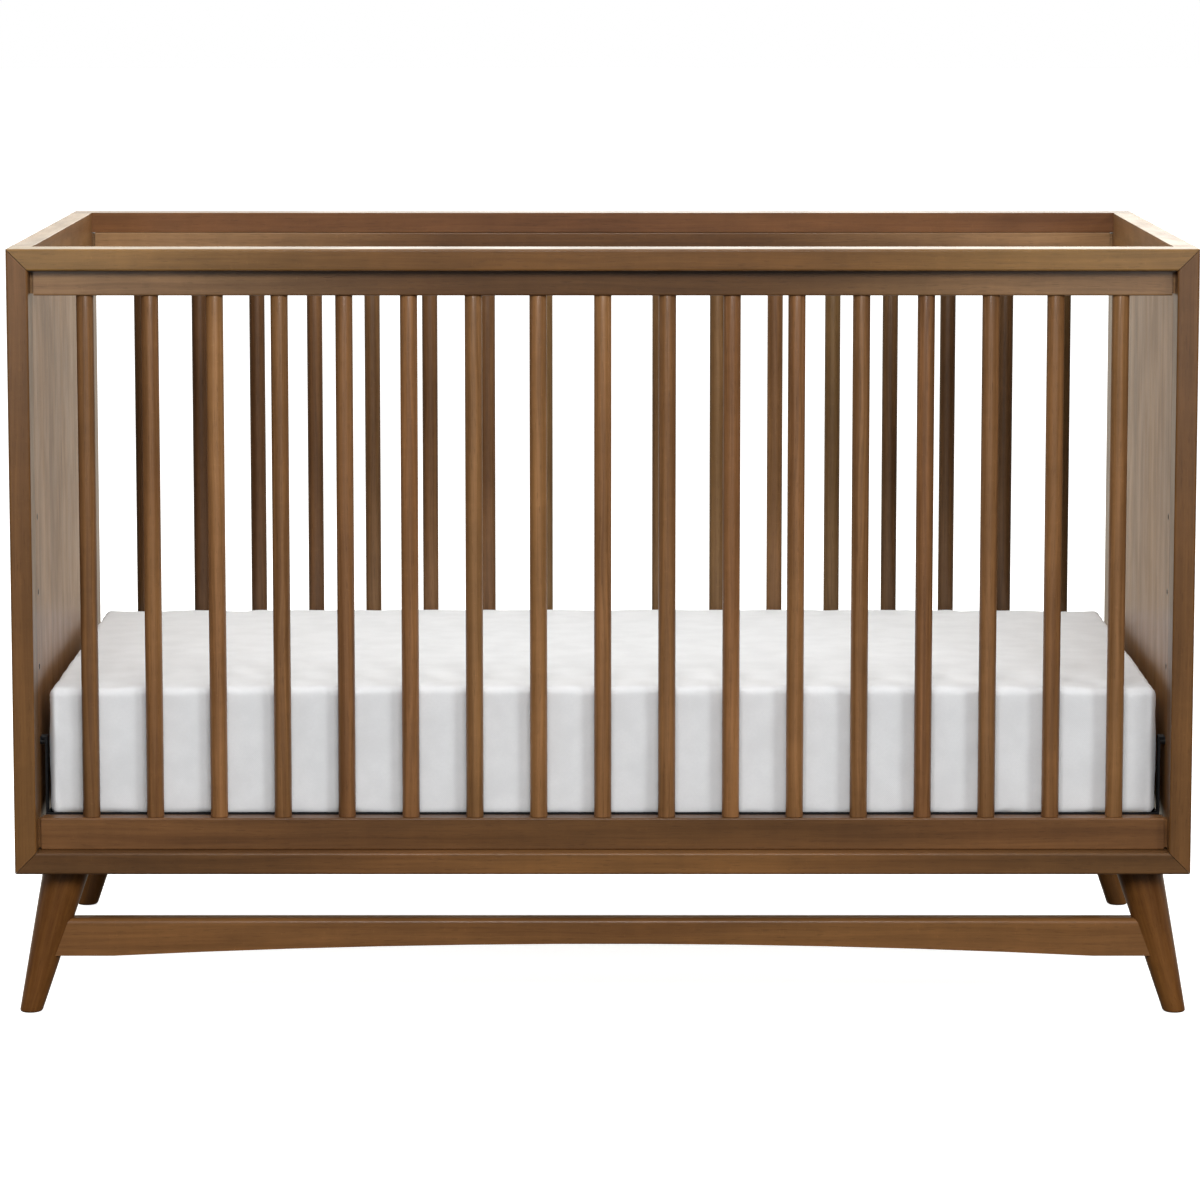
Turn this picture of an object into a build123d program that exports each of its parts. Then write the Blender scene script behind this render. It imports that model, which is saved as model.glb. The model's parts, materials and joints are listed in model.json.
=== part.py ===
from build123d import *
import math
import os

# A baby crib for a standard full-size mattress, in millimetres.
# X runs along the crib, Y from the front face to the rear face, and Z is up.
# The origin is on the floor, under the middle of the crib.
#
# The crib is two mitred picture frames, front and rear, tied by two panelled ends.
# A gate of round spindles is set back in each frame. Four splayed legs carry the box,
# with an arched stretcher between each pair. The mattress lies on a slatted steel frame
# that hangs by four hooks from studs in the end stiles, at one of four heights.

# Whole crib
crib_length = 1384.0          # outside of the left posts to outside of the right posts
crib_depth = 794.0            # front face to rear face
crib_height = 914.0           # floor to the top of the top boards
leg_height = 178.0            # floor to the underside of the box

# Picture frames: four mitred boards each
board_width = 25.5            # the width that shows from the front
board_depth = 48.0            # front to back
face_arris = 2.5              # rounding of the two long edges that show
back_arris = 0.8              # rounding of the two long edges behind
mitre_gap = 0.6               # hairline between two mitred ends

# Gates: two rails and a row of spindles, set back in each frame
gate_recess = 22.0            # frame face to gate face
gate_thickness = 26.0
gate_end_gap = 4.0            # shadow gap, rail end to post
gate_tongue_thickness = 14.0  # the tongue bears on the post across the shadow gap
gate_tongue_shoulder = 2.0    # rail's top and bottom to its tongues
top_rail_height = 30.0
bottom_rail_height = 38.0
rail_arris = 2.0
spindle_count = 17
spindle_diameter = 20.4
end_spindle_space = 62.5      # post to the centre of the nearest spindle
tenon_diameter = 12.0
tenon_length = 14.0

# Ends: stiles and rails around a flat panel
stile_width = 30.0
end_rail_height = 45.0
panel_setback = 1.5           # panel face behind the face of its stiles, on both sides
end_arris = 0.8

# Legs, turned and splayed along X
leg_top_diameter = 55.0       # square to the leg's axis, at the box
leg_foot_diameter = 26.0      # square to the leg's axis, at the floor
leg_splay = 46.0              # how far the foot stands out past the leg's top
leg_top_inset = 55.0          # outside of the posts to the centre of the leg's top
leg_face_inset = 65.0         # frame face to the leg's axis
foot_round = 3.5

# Stretchers, arched underneath
stretcher_top = 115.0         # above the floor
stretcher_height = 45.0       # at its ends
stretcher_thickness = 28.0
stretcher_arris = 6.0
arch_rise = 14.5
arch_end_inset = 109.0        # outside of the posts to the end of the arch
stretcher_tenon_height = 22.0
stretcher_tenon_thickness = 12.0

# Leg fixings
corner_block_size = 90.0      # along X and Y
corner_block_height = 26.0
leg_stud_diameter = 8.0
leg_stud_depth = 35.0         # into the leg
leg_nut_across_flats = 13.0
leg_nut_height = 8.0
leg_nut_flange_diameter = 18.0
leg_nut_flange_height = 1.5
stud_end = 3.0                # thread that shows past the nut

# Gate bolts, from outside each post into a barrel nut in the rail
bolt_diameter = 6.0
bolt_head_diameter = 10.0
bolt_head_height = 6.0
bolt_socket_across_flats = 5.0
bolt_socket_depth = 3.0
counterbore_depth = 7.0
barrel_nut_diameter = 10.0
barrel_nut_length = 16.0
barrel_nut_from_end = 30.0    # rail end to the barrel nut's axis
bolt_tip = 4.0                # thread past the barrel nut's wall

# Mattress support and its four heights
level_count = 4
level_pitch = 89.0
lowest_hole = 149.5           # underside of the box to the lowest hole
stud_diameter = 8.0           # shoulder that the hook hangs on
stud_length = 6.0             # shoulder out of the stile
stud_thread_diameter = 6.0
stud_socket_across_flats = 4.0
stud_socket_depth = 3.0
insert_diameter = 9.5
insert_length = 15.0
hook_width = 20.0
hook_thickness = 2.0
hook_lip_gap = 1.0            # lip end to the stile
hook_hang = 0.3               # lip to the stud under it
stud_to_hook = 0.5            # stud end to the hook's strap
support_drop = 86.8           # lowest hole down to the top of the slats
flange_width = 20.0
steel_thickness = 2.5
frame_lip = 2.5               # steel frame above the top of the slats
slat_count = 13
slat_width = 60.0
slat_thickness = 12.0
slat_arris = 2.0
slat_end_gap = 1.0            # slat end to the steel frame's upright
end_slat_inset = 45.0         # outside of the steel frame to the first slat's centre
rivet_diameter = 5.0
rivet_head_diameter = 10.0
rivet_head_height = 2.0
rivet_inset = 11.0            # outside of the steel frame to the rivet

# Mattress
mattress_thickness = 150.0
mattress_side_gap = 4.0       # mattress to gate, each side
mattress_end_gap = 0.5        # mattress to hook, each end
mattress_lift_gap = 0.3       # slats to mattress
mattress_corner_round = 12.0
mattress_edge_round = 10.0

fit_clearance = 0.1           # radial, wherever one piece passes into another

# Places worked out from the sizes above
box_height = crib_height - leg_height
half_length = crib_length / 2
half_depth = crib_depth / 2
half_opening = half_length - board_width          # middle to the inner face of a post
half_inside = half_depth - board_depth            # middle to the inner face of a frame
gate_inner_face = half_depth - gate_recess - gate_thickness
clear_half_width = min(half_inside, gate_inner_face)   # middle to whichever stands further in
gate_plane = half_depth - gate_recess - gate_thickness / 2
rail_length = 2 * (half_opening - gate_end_gap)
top_rail_middle = crib_height - board_width - top_rail_height / 2
bottom_rail_middle = leg_height + board_width + bottom_rail_height / 2
spindle_bottom = bottom_rail_middle + bottom_rail_height / 2
spindle_top = top_rail_middle - top_rail_height / 2
spindle_pitch = 2 * (half_opening - end_spindle_space) / (spindle_count - 1)
stile_line = half_inside - stile_width / 2        # middle to a stile's centre line
leg_top_x = half_length - leg_top_inset
leg_foot_x = leg_top_x + leg_splay
leg_line = half_depth - leg_face_inset
hole_heights = [leg_height + lowest_hole + level * level_pitch for level in range(level_count)]
support_half_length = half_opening - stud_length - stud_to_hook - hook_thickness
support_half_width = clear_half_width - mattress_side_gap
slat_top = hole_heights[0] - support_drop
flange_top = slat_top - slat_thickness
flange_bottom = flange_top - steel_thickness
frame_top = slat_top + frame_lip

corners = [(x, y) for y in (-1, 1) for x in (-1, 1)]


def bar(length, depth, height, arris):
    """A bar along X, centred, with its four long edges rounded."""
    return fillet(Box(length, depth, height).edges().filter_by(Axis.X), arris)


def rod_x(diameter, low, high):
    """A round rod along X from low to high."""
    return Pos((low + high) / 2, 0, 0) * Rot(0, 90, 0) * Cylinder(diameter / 2, high - low)


def rod_z(diameter, low, high):
    """A round rod along Z from low to high."""
    return Pos(0, 0, (low + high) / 2) * Cylinder(diameter / 2, high - low)


def hexagon_z(across_flats, low, high):
    """A six-sided prism along Z from low to high."""
    outline = RegularPolygon(across_flats / 2, 6, major_radius=False)
    return Pos(0, 0, low) * extrude(outline, high - low)


def spindle_places():
    """The X of each spindle in a gate."""
    first = -spindle_pitch * (spindle_count - 1) / 2
    return [first + number * spindle_pitch for number in range(spindle_count)]


def rail_middles():
    return (bottom_rail_middle, top_rail_middle)


# Picture frames

def mitred_board(length):
    """A frame board along X, centred: its face towards -Y, its long edge up."""
    blank = Box(length, board_depth, board_width)
    long_edges = blank.edges().filter_by(Axis.X).group_by(Axis.Y)
    blank = fillet(long_edges[0], face_arris)
    long_edges = blank.edges().filter_by(Axis.X).group_by(Axis.Y)
    blank = fillet(long_edges[-1], back_arris)
    long_half = length / 2 - mitre_gap / math.sqrt(2)
    short_half = long_half - board_width
    half_width = board_width / 2
    outline = Polyline(
        (-long_half, half_width),
        (long_half, half_width),
        (short_half, -half_width),
        (-short_half, -half_width),
        close=True,
    )
    keep = extrude(Plane.XZ * make_face(outline), board_depth, both=True)
    return blank & keep


def turned_to_face(side_y, shape):
    """Turns a piece made for the front round to the rear when side_y is 1."""
    return shape if side_y < 0 else Rot(0, 0, 180) * shape


def top_board(side_y):
    place = Pos(0, side_y * (half_depth - board_depth / 2), crib_height - board_width / 2)
    return place * turned_to_face(side_y, mitred_board(crib_length))


def bottom_board(side_y):
    place = Pos(0, side_y * (half_depth - board_depth / 2), leg_height + board_width / 2)
    upside_down = Rot(0, 180, 0) * mitred_board(crib_length)
    return place * turned_to_face(side_y, upside_down)


def post(side_x, side_y):
    """An upright frame board, bored for the two bolts of its gate."""
    upright = Rot(0, -90 * side_x * side_y, 0) * mitred_board(box_height)
    middle_x = side_x * (half_length - board_width / 2)
    middle_y = side_y * (half_depth - board_depth / 2)
    middle_z = leg_height + box_height / 2
    board = Pos(middle_x, middle_y, middle_z) * turned_to_face(side_y, upright)
    for height in rail_middles():
        board -= Pos(0, side_y * gate_plane, height) * facing(side_x, post_bore())
    return board


def post_bore():
    """The stepped hole of a gate bolt, for a right-hand post."""
    shank = rod_x(bolt_diameter + 2 * fit_clearance, half_opening - 1, half_length)
    head = rod_x(bolt_head_diameter + 1, half_length - counterbore_depth, half_length + 1)
    return shank + head


def facing(side_x, shape):
    """Turns a piece made for the right-hand end round to the left when side_x is -1."""
    return shape if side_x > 0 else Rot(0, 0, 180) * shape


# Gates

def gate_rail(height, socket_side):
    """A rail along X, centred, with a socket for each spindle in its top (1) or bottom (-1).

    A tongue at each end bears on the post. The two barrel nuts go in from underneath, where
    their holes don't show.
    """
    rail = bar(rail_length, gate_thickness, height, rail_arris)
    rail += Box(2 * half_opening, gate_tongue_thickness, height - 2 * gate_tongue_shoulder)
    socket = rod_z(tenon_diameter + 2 * fit_clearance, 0, tenon_length + 1)
    socket_floor = height / 2 - tenon_length - fit_clearance
    for x in spindle_places():
        if socket_side > 0:
            rail -= Pos(x, 0, socket_floor) * socket
        else:
            rail -= Pos(x, 0, -socket_floor) * Rot(180, 0, 0) * socket
    bolt_hole = rod_x(bolt_diameter + 2 * fit_clearance, bolt_end(), half_opening + 1)
    nut_hole = rod_z(
        barrel_nut_diameter + 2 * fit_clearance,
        -height,
        barrel_nut_length / 2 + fit_clearance,
    )
    for side_x in (-1, 1):
        rail -= facing(side_x, bolt_hole)
        rail -= Pos(side_x * barrel_nut_x(), 0, 0) * nut_hole
    return rail


def barrel_nut_x():
    return rail_length / 2 - barrel_nut_from_end


def bolt_end():
    return barrel_nut_x() - barrel_nut_diameter / 2 - bolt_tip


def placed_gate_rail(side_y, name):
    if name == "top":
        height, middle, socket_side = top_rail_height, top_rail_middle, -1
    else:
        height, middle, socket_side = bottom_rail_height, bottom_rail_middle, 1
    return Pos(0, side_y * gate_plane, middle) * gate_rail(height, socket_side)


def spindle(x, side_y):
    """A round spindle with a thinner round tenon at each end."""
    body = rod_z(spindle_diameter, spindle_bottom, spindle_top)
    tenons = rod_z(tenon_diameter, spindle_bottom - tenon_length, spindle_top + tenon_length)
    return Pos(x, side_y * gate_plane, 0) * (body + tenons)


def gate_bolt():
    """A socket-head bolt along X for a right-hand post, at y = 0 and z = 0."""
    seat = half_length - counterbore_depth
    shank = rod_x(bolt_diameter, bolt_end() + fit_clearance, seat)
    head = rod_x(bolt_head_diameter, seat, seat + bolt_head_height)
    head_face = seat + bolt_head_height
    socket = hexagon_z(bolt_socket_across_flats, -bolt_socket_depth, 1)
    return shank + head - Pos(head_face, 0, 0) * Rot(0, 90, 0) * socket


def barrel_nut():
    """A round upright cross nut for the right-hand end of a rail, at y = 0 and z = 0."""
    body = Cylinder(barrel_nut_diameter / 2, barrel_nut_length)
    thread = rod_x(bolt_diameter + 2 * fit_clearance, -barrel_nut_diameter, barrel_nut_diameter)
    return Pos(barrel_nut_x(), 0, 0) * (body - thread)


def at_gate_corners(shape):
    """Copies a right-hand piece to both ends of all four rails."""
    return [
        Pos(0, side_y * gate_plane, height) * facing(side_x, shape)
        for side_x, side_y in corners
        for height in rail_middles()
    ]


# Ends

def end_stile(side_x, side_y):
    """An upright behind a post, with the threaded inserts' holes on its inner face."""
    block = Box(board_width, stile_width, box_height)
    block = fillet(block.edges().filter_by(Axis.Z), end_arris)
    middle_x = side_x * (half_length - board_width / 2)
    block = Pos(middle_x, side_y * stile_line, leg_height + box_height / 2) * block
    hole = rod_x(
        insert_diameter + 2 * fit_clearance,
        half_opening - 1,
        half_opening + insert_length + fit_clearance,
    )
    for height in hole_heights:
        block -= Pos(0, side_y * stile_line, height) * facing(side_x, hole)
    return block


def panel_half_depth():
    """Middle of the crib to the edge of an end panel."""
    return half_inside - stile_width


def end_rail(side_x, name):
    block = Box(board_width, 2 * panel_half_depth(), end_rail_height)
    block = fillet(block.edges().filter_by(Axis.Y), end_arris)
    middle_x = side_x * (half_length - board_width / 2)
    if name == "top":
        middle_z = crib_height - end_rail_height / 2
    else:
        middle_z = leg_height + end_rail_height / 2
    return Pos(middle_x, 0, middle_z) * block


def end_panel(side_x):
    thickness = board_width - 2 * panel_setback
    height = box_height - 2 * end_rail_height
    middle_x = side_x * (half_length - board_width / 2)
    return Pos(middle_x, 0, leg_height + box_height / 2) * Box(thickness, 2 * panel_half_depth(), height)


# Legs and stretchers

def leg_axis_x(height):
    """The X of a right-hand leg's axis at a height above the floor."""
    return leg_foot_x - leg_splay * height / leg_height


def leg_cone(extra_radius):
    """A right-hand leg's cone at y = 0, running past the floor and the box."""
    tilt = math.degrees(math.atan2(leg_splay, leg_height))
    axis_length = math.hypot(leg_splay, leg_height)
    taper = (leg_top_diameter - leg_foot_diameter) / 2 / axis_length
    overrun = leg_foot_diameter
    foot_radius = leg_foot_diameter / 2 - taper * overrun + extra_radius
    top_radius = leg_top_diameter / 2 + taper * overrun + extra_radius
    cone = Cone(foot_radius, top_radius, axis_length + 2 * overrun)
    return Pos(leg_axis_x(leg_height / 2), 0, leg_height / 2) * Rot(0, -tilt, 0) * cone


def stretcher_middle():
    return stretcher_top - stretcher_height / 2


def stretcher_tenon(grow):
    """The tenon of a right-hand stretcher end, grown on every side for its mortise.

    It runs from the leg's axis back into the body of the stretcher.
    """
    tip = leg_axis_x(stretcher_middle()) + grow
    root = tip - leg_top_diameter
    block = Box(
        tip - root,
        stretcher_tenon_thickness + 2 * grow,
        stretcher_tenon_height + 2 * grow,
    )
    return Pos((tip + root) / 2, 0, stretcher_middle()) * block


def leg(side_x, side_y):
    """A tapered round leg, cut level at the floor and the box, mortised for the stretcher."""
    room = 2 * leg_top_diameter + 2 * leg_splay
    level_slab = Pos(leg_top_x, 0, leg_height / 2) * Box(2 * room, room, leg_height)
    body = leg_cone(0) & level_slab
    body = fillet(body.faces().sort_by(Axis.Z)[0].edges(), foot_round)
    body -= stretcher_tenon(fit_clearance)
    stud_hole = rod_z(
        leg_stud_diameter + 2 * fit_clearance,
        leg_height - leg_stud_depth - fit_clearance,
        leg_height + 1,
    )
    body -= Pos(leg_top_x, 0, 0) * stud_hole
    return Pos(0, side_y * leg_line, 0) * facing(side_x, body)


def stretcher(side_y):
    """A rail between two legs: straight on top, arched below, coped round the legs."""
    end = leg_axis_x(stretcher_middle())
    low = stretcher_top - stretcher_height
    arch_half = half_length - arch_end_inset
    outline = (
        Line((-end, low), (-arch_half, low))
        + ThreePointArc((-arch_half, low), (0, low + arch_rise), (arch_half, low))
        + Line((arch_half, low), (end, low))
        + Line((end, low), (end, stretcher_top))
        + Line((end, stretcher_top), (-end, stretcher_top))
        + Line((-end, stretcher_top), (-end, low))
    )
    body = extrude(Plane.XZ * make_face(outline), stretcher_thickness / 2, both=True)
    top_edges = body.edges().filter_by(Axis.X).group_by(Axis.Z)[-1]
    body = fillet(top_edges, stretcher_arris)
    for side_x in (-1, 1):
        body -= facing(side_x, leg_cone(fit_clearance))
        body += facing(side_x, stretcher_tenon(0))
    return Pos(0, side_y * leg_line, 0) * body


# Leg fixings

def block_top():
    return leg_height + corner_block_height


def corner_block():
    """The block in the rear right corner that the leg's stud passes through.

    It lies against the bottom board, and is cut back to the gate's rail where that stands over it.
    """
    middle_x = half_opening - corner_block_size / 2
    middle_y = half_inside - corner_block_size / 2
    block = Box(corner_block_size, corner_block_size, corner_block_height)
    block = Pos(middle_x, middle_y, leg_height + corner_block_height / 2) * block
    rail_room = Box(2 * corner_block_size, corner_block_size, bottom_rail_height)
    block -= Pos(middle_x, gate_inner_face + corner_block_size / 2, bottom_rail_middle) * rail_room
    hole = rod_z(leg_stud_diameter + 2 * fit_clearance, leg_height - 1, block_top() + 1)
    return block - Pos(leg_top_x, leg_line, 0) * hole


def leg_stud():
    nut_top = block_top() + leg_nut_flange_height + leg_nut_height
    stud = rod_z(leg_stud_diameter, leg_height - leg_stud_depth, nut_top + stud_end)
    return Pos(leg_top_x, leg_line, 0) * stud


def leg_nut():
    """A flanged hexagon nut on the corner block."""
    flange_top = block_top() + leg_nut_flange_height
    flange = rod_z(leg_nut_flange_diameter, block_top(), flange_top)
    hexagon = hexagon_z(leg_nut_across_flats, flange_top, flange_top + leg_nut_height)
    bore = leg_stud_diameter + 2 * fit_clearance
    thread = rod_z(bore, block_top() - 1, flange_top + 2 * leg_nut_height)
    return Pos(leg_top_x, leg_line, 0) * (flange + hexagon - thread)


def at_corners(shape):
    """Copies a piece made in the rear right corner to all four corners."""
    copies = []
    for side_x, side_y in corners:
        copy = shape
        if side_x < 0:
            copy = mirror(copy, Plane.YZ)
        if side_y < 0:
            copy = mirror(copy, Plane.XZ)
        copies.append(copy)
    return copies


# Mattress support

def hanger_insert():
    """A threaded insert, flush with the inner face of a right-hand stile."""
    body = rod_x(insert_diameter, half_opening, half_opening + insert_length)
    bore = stud_thread_diameter + 2 * fit_clearance
    thread = rod_x(bore, half_opening - 1, half_opening + 2 * insert_length)
    return body - thread


def hanger_stud():
    """A shouldered stud screwed into the lowest insert of the rear right stile."""
    shoulder_end = half_opening - stud_length
    shoulder = rod_x(stud_diameter, shoulder_end, half_opening)
    thread = rod_x(stud_thread_diameter, half_opening, half_opening + insert_length)
    socket = hexagon_z(stud_socket_across_flats, -1, stud_socket_depth)
    stud = shoulder + thread - Pos(shoulder_end, 0, 0) * Rot(0, 90, 0) * socket
    return Pos(0, stile_line, hole_heights[0]) * stud


def hook():
    """A flat strap up from the steel frame, bent out at its top to lie on the stud."""
    strap_inner = support_half_length
    strap_outer = strap_inner + hook_thickness
    lip_end = half_opening - hook_lip_gap
    lip_bottom = hole_heights[0] + stud_diameter / 2 + hook_hang
    lip_top = lip_bottom + hook_thickness
    outline = Polyline(
        (strap_inner, flange_bottom),
        (strap_outer, flange_bottom),
        (strap_outer, lip_bottom),
        (lip_end, lip_bottom),
        (lip_end, lip_top),
        (strap_inner, lip_top),
        close=True,
    )
    strap = extrude(Plane.XZ * make_face(outline), hook_width / 2, both=True)
    return Pos(0, support_half_width - hook_width / 2, 0) * strap


def support_angle(half_run, half_across):
    """A steel angle along X: a flange under the slats and an upright outside their ends.

    The upright's outer face is at y = half_across, and both ends are mitred.
    """
    inner = half_across - flange_width
    section = Polyline(
        (half_across, flange_bottom),
        (half_across, frame_top),
        (half_across - steel_thickness, frame_top),
        (half_across - steel_thickness, flange_top),
        (inner, flange_top),
        (inner, flange_bottom),
        close=True,
    )
    run = extrude(Plane.YZ * make_face(section), half_run, both=True)
    plan = Polyline(
        (-half_run, half_across),
        (half_run, half_across),
        (half_run - flange_width, inner),
        (-half_run + flange_width, inner),
        close=True,
    )
    keep = Pos(0, 0, flange_bottom) * extrude(make_face(plan), frame_top - flange_bottom)
    return run & keep


def support_frame():
    """Four angles mitred into a rectangle, with rivet holes in the two long ones."""
    side = support_angle(support_half_length, support_half_width)
    hole = rod_z(rivet_diameter + 2 * fit_clearance, flange_bottom - 1, flange_top + 1)
    for x in slat_places():
        side -= Pos(x, support_half_width - rivet_inset, 0) * hole
    end = support_angle(support_half_width, support_half_length)
    return [
        side,
        Rot(0, 0, 180) * side,
        Rot(0, 0, 90) * end,
        Rot(0, 0, -90) * end,
    ]


def slat_places():
    """The X of each slat."""
    first = support_half_length - end_slat_inset
    step = 2 * first / (slat_count - 1)
    return [-first + number * step for number in range(slat_count)]


def slat():
    """A flat cross slat with a flush seat for a rivet at each end, at x = 0."""
    length = 2 * (support_half_width - steel_thickness - slat_end_gap)
    board = Box(slat_width, length, slat_thickness)
    board = fillet(board.edges().filter_by(Axis.Y), slat_arris)
    board = Pos(0, 0, slat_top - slat_thickness / 2) * board
    seat = rod_z(rivet_head_diameter + 2 * fit_clearance, slat_top - rivet_head_height, slat_top + 1)
    hole = rod_z(rivet_diameter + 2 * fit_clearance, flange_top - 1, slat_top)
    for side_y in (-1, 1):
        board -= Pos(0, side_y * (support_half_width - rivet_inset), 0) * (seat + hole)
    return board


def rivet():
    """A rivet through slat and flange, flush on top, at x = 0 and y = 0."""
    top_head = rod_z(rivet_head_diameter, slat_top - rivet_head_height, slat_top)
    shank = rod_z(rivet_diameter, flange_bottom - rivet_head_height, slat_top)
    lower_head = rod_z(rivet_head_diameter, flange_bottom - rivet_head_height, flange_bottom)
    return top_head + shank + lower_head


def rivet_places():
    line = support_half_width - rivet_inset
    return [(x, side_y * line) for x in slat_places() for side_y in (-1, 1)]


def mattress():
    """A plain block with rounded corners and rounded top and bottom edges."""
    length = 2 * (support_half_length - mattress_end_gap)
    width = 2 * support_half_width
    block = Box(length, width, mattress_thickness)
    block = fillet(block.edges().filter_by(Axis.Z), mattress_corner_round)
    ends = block.faces().sort_by(Axis.Z)
    block = fillet(ends[0].edges() + ends[-1].edges(), mattress_edge_round)
    return Pos(0, 0, slat_top + mattress_lift_gap + mattress_thickness / 2) * block


# Every node, by name

def all_nodes():
    nodes = {}
    for side_y, face in ((-1, "front"), (1, "rear")):
        nodes[f"{face}_top_board"] = top_board(side_y)
        nodes[f"{face}_bottom_board"] = bottom_board(side_y)
        nodes[f"{face}_gate_top_rail"] = placed_gate_rail(side_y, "top")
        nodes[f"{face}_gate_bottom_rail"] = placed_gate_rail(side_y, "bottom")
        nodes[f"{face}_stretcher"] = stretcher(side_y)
        for side_x, hand in ((-1, "left"), (1, "right")):
            nodes[f"{face}_{hand}_post"] = post(side_x, side_y)
            nodes[f"{face}_{hand}_leg"] = leg(side_x, side_y)
            nodes[f"{hand}_end_{face}_stile"] = end_stile(side_x, side_y)
    for number, x in enumerate(spindle_places(), start=1):
        nodes[f"front_spindle_{number:02d}"] = spindle(x, -1)
    nodes["rear_spindles"] = Compound([spindle(x, 1) for x in spindle_places()])
    for side_x, hand in ((-1, "left"), (1, "right")):
        nodes[f"{hand}_end_panel"] = end_panel(side_x)
        nodes[f"{hand}_end_top_rail"] = end_rail(side_x, "top")
        nodes[f"{hand}_end_bottom_rail"] = end_rail(side_x, "bottom")
    nodes["corner_blocks"] = Compound(at_corners(corner_block()))
    nodes["leg_studs"] = Compound(at_corners(leg_stud()))
    nodes["leg_nuts"] = Compound(at_corners(leg_nut()))
    nodes["gate_bolts"] = Compound(at_gate_corners(gate_bolt()))
    nodes["gate_barrel_nuts"] = Compound(at_gate_corners(barrel_nut()))
    nodes["hanger_inserts"] = Compound([
        Pos(0, side_y * stile_line, height) * facing(side_x, hanger_insert())
        for side_x, side_y in corners
        for height in hole_heights
    ])
    nodes["hanger_studs"] = Compound(at_corners(hanger_stud()))
    nodes["hanger_hooks"] = Compound(at_corners(hook()))
    nodes["support_frame"] = Compound(support_frame())
    nodes["support_slats"] = Compound([Pos(x, 0, 0) * slat() for x in slat_places()])
    nodes["slat_rivets"] = Compound([Pos(x, y, 0) * rivet() for x, y in rivet_places()])
    nodes["mattress"] = mattress()
    return nodes


os.makedirs("parts", exist_ok=True)
for node_name, node_shape in all_nodes().items():
    export_step(node_shape, f"parts/{node_name}.step")
print(f"spindle gap {spindle_pitch - spindle_diameter:.1f} mm")
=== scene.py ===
# %% [markdown]
# # A baby crib, from its frame to its finish
#
# The crib's shape comes ready made as a fixed frame of named parts. This lesson gives it its
# looks: walnut stain under satin lacquer, round spindles and turned legs with smooth skins,
# a soft mattress, and plain studio light. The frame is loaded once and is never moved.

import json
import math

import bmesh
import bpy
import numpy as np
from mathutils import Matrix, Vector


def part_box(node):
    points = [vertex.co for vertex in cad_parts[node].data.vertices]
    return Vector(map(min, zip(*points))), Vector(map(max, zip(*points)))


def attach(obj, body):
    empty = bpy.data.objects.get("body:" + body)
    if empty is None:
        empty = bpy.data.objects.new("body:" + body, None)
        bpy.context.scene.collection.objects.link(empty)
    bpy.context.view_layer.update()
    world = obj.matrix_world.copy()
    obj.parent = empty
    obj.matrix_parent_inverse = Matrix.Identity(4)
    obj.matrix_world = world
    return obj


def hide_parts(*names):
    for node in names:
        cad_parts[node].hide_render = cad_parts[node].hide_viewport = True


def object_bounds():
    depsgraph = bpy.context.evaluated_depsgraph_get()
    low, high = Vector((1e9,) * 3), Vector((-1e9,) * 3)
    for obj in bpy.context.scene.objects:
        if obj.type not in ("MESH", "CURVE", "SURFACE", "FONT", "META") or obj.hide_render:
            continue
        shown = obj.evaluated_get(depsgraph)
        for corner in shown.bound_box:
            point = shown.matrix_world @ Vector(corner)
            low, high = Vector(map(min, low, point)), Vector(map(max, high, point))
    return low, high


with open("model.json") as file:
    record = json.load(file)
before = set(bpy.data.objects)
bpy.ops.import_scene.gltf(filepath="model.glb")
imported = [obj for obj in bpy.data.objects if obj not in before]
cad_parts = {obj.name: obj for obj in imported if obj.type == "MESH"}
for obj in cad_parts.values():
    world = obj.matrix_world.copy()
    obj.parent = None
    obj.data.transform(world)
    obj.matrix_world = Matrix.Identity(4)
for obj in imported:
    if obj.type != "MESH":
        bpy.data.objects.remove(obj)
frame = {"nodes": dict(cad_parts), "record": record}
low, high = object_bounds()
nodes = frame["nodes"]
print("parts in the frame:", len(nodes))
print("length, depth, height in metres:", [round(x, 3) for x in (high - low)])

# %% [markdown]
# A studio camera stands well back and looks slightly down, so that the depth of the crib shows
# as a thin band of its far rails and the top faces of its near ones. A long lens from far away
# keeps upright posts nearly upright. It could also be a short lens from near by, but that
# would spread the posts like a fan.

# %% Camera
camera_distance = 5.806       # from the front face of the crib
camera_height = 1.283
camera_left = 0.0032          # to the left of the middle
looking_down = math.radians(7.64)
lens_length = 150.4           # on a 36 mm wide sensor

camera_data = bpy.data.cameras.new("studio_camera")
camera_data.lens = lens_length
camera_data.sensor_width = 36.0
camera_data.clip_start, camera_data.clip_end = 0.1, 120.0
camera = bpy.data.objects.new("studio_camera", camera_data)
camera.location = (-camera_left, low.y - camera_distance, camera_height)
camera.rotation_euler = (math.pi / 2 - looking_down, 0.0, 0.0)
bpy.context.scene.collection.objects.link(camera)
bpy.context.scene.camera = camera
print("camera stands at", [round(x, 3) for x in camera.location])

# %% [markdown]
# Every material here is a small network of nodes. These helpers add a node, set its values and
# join it to others, so that the recipes further down read as a list of steps.

# %% Helpers for materials
def start_material(name):
    """A new material with its shader, ready for more nodes."""
    material = bpy.data.materials.new(name)
    material.use_nodes = True
    tree = material.node_tree
    return material, tree, tree.nodes["Principled BSDF"]


def feed(tree, socket, value):
    """Gives a socket either a plain value or another node's output."""
    if isinstance(value, bpy.types.NodeSocket):
        tree.links.new(value, socket)
    else:
        socket.default_value = value


def add(tree, kind, inputs=(), **settings):
    """A node of one kind, with its settings, and its inputs given as (name, value) pairs."""
    node = tree.nodes.new(kind)
    for name, value in settings.items():
        setattr(node, name, value)
    for name, value in inputs:
        feed(tree, node.inputs[name], value)
    return node


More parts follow.
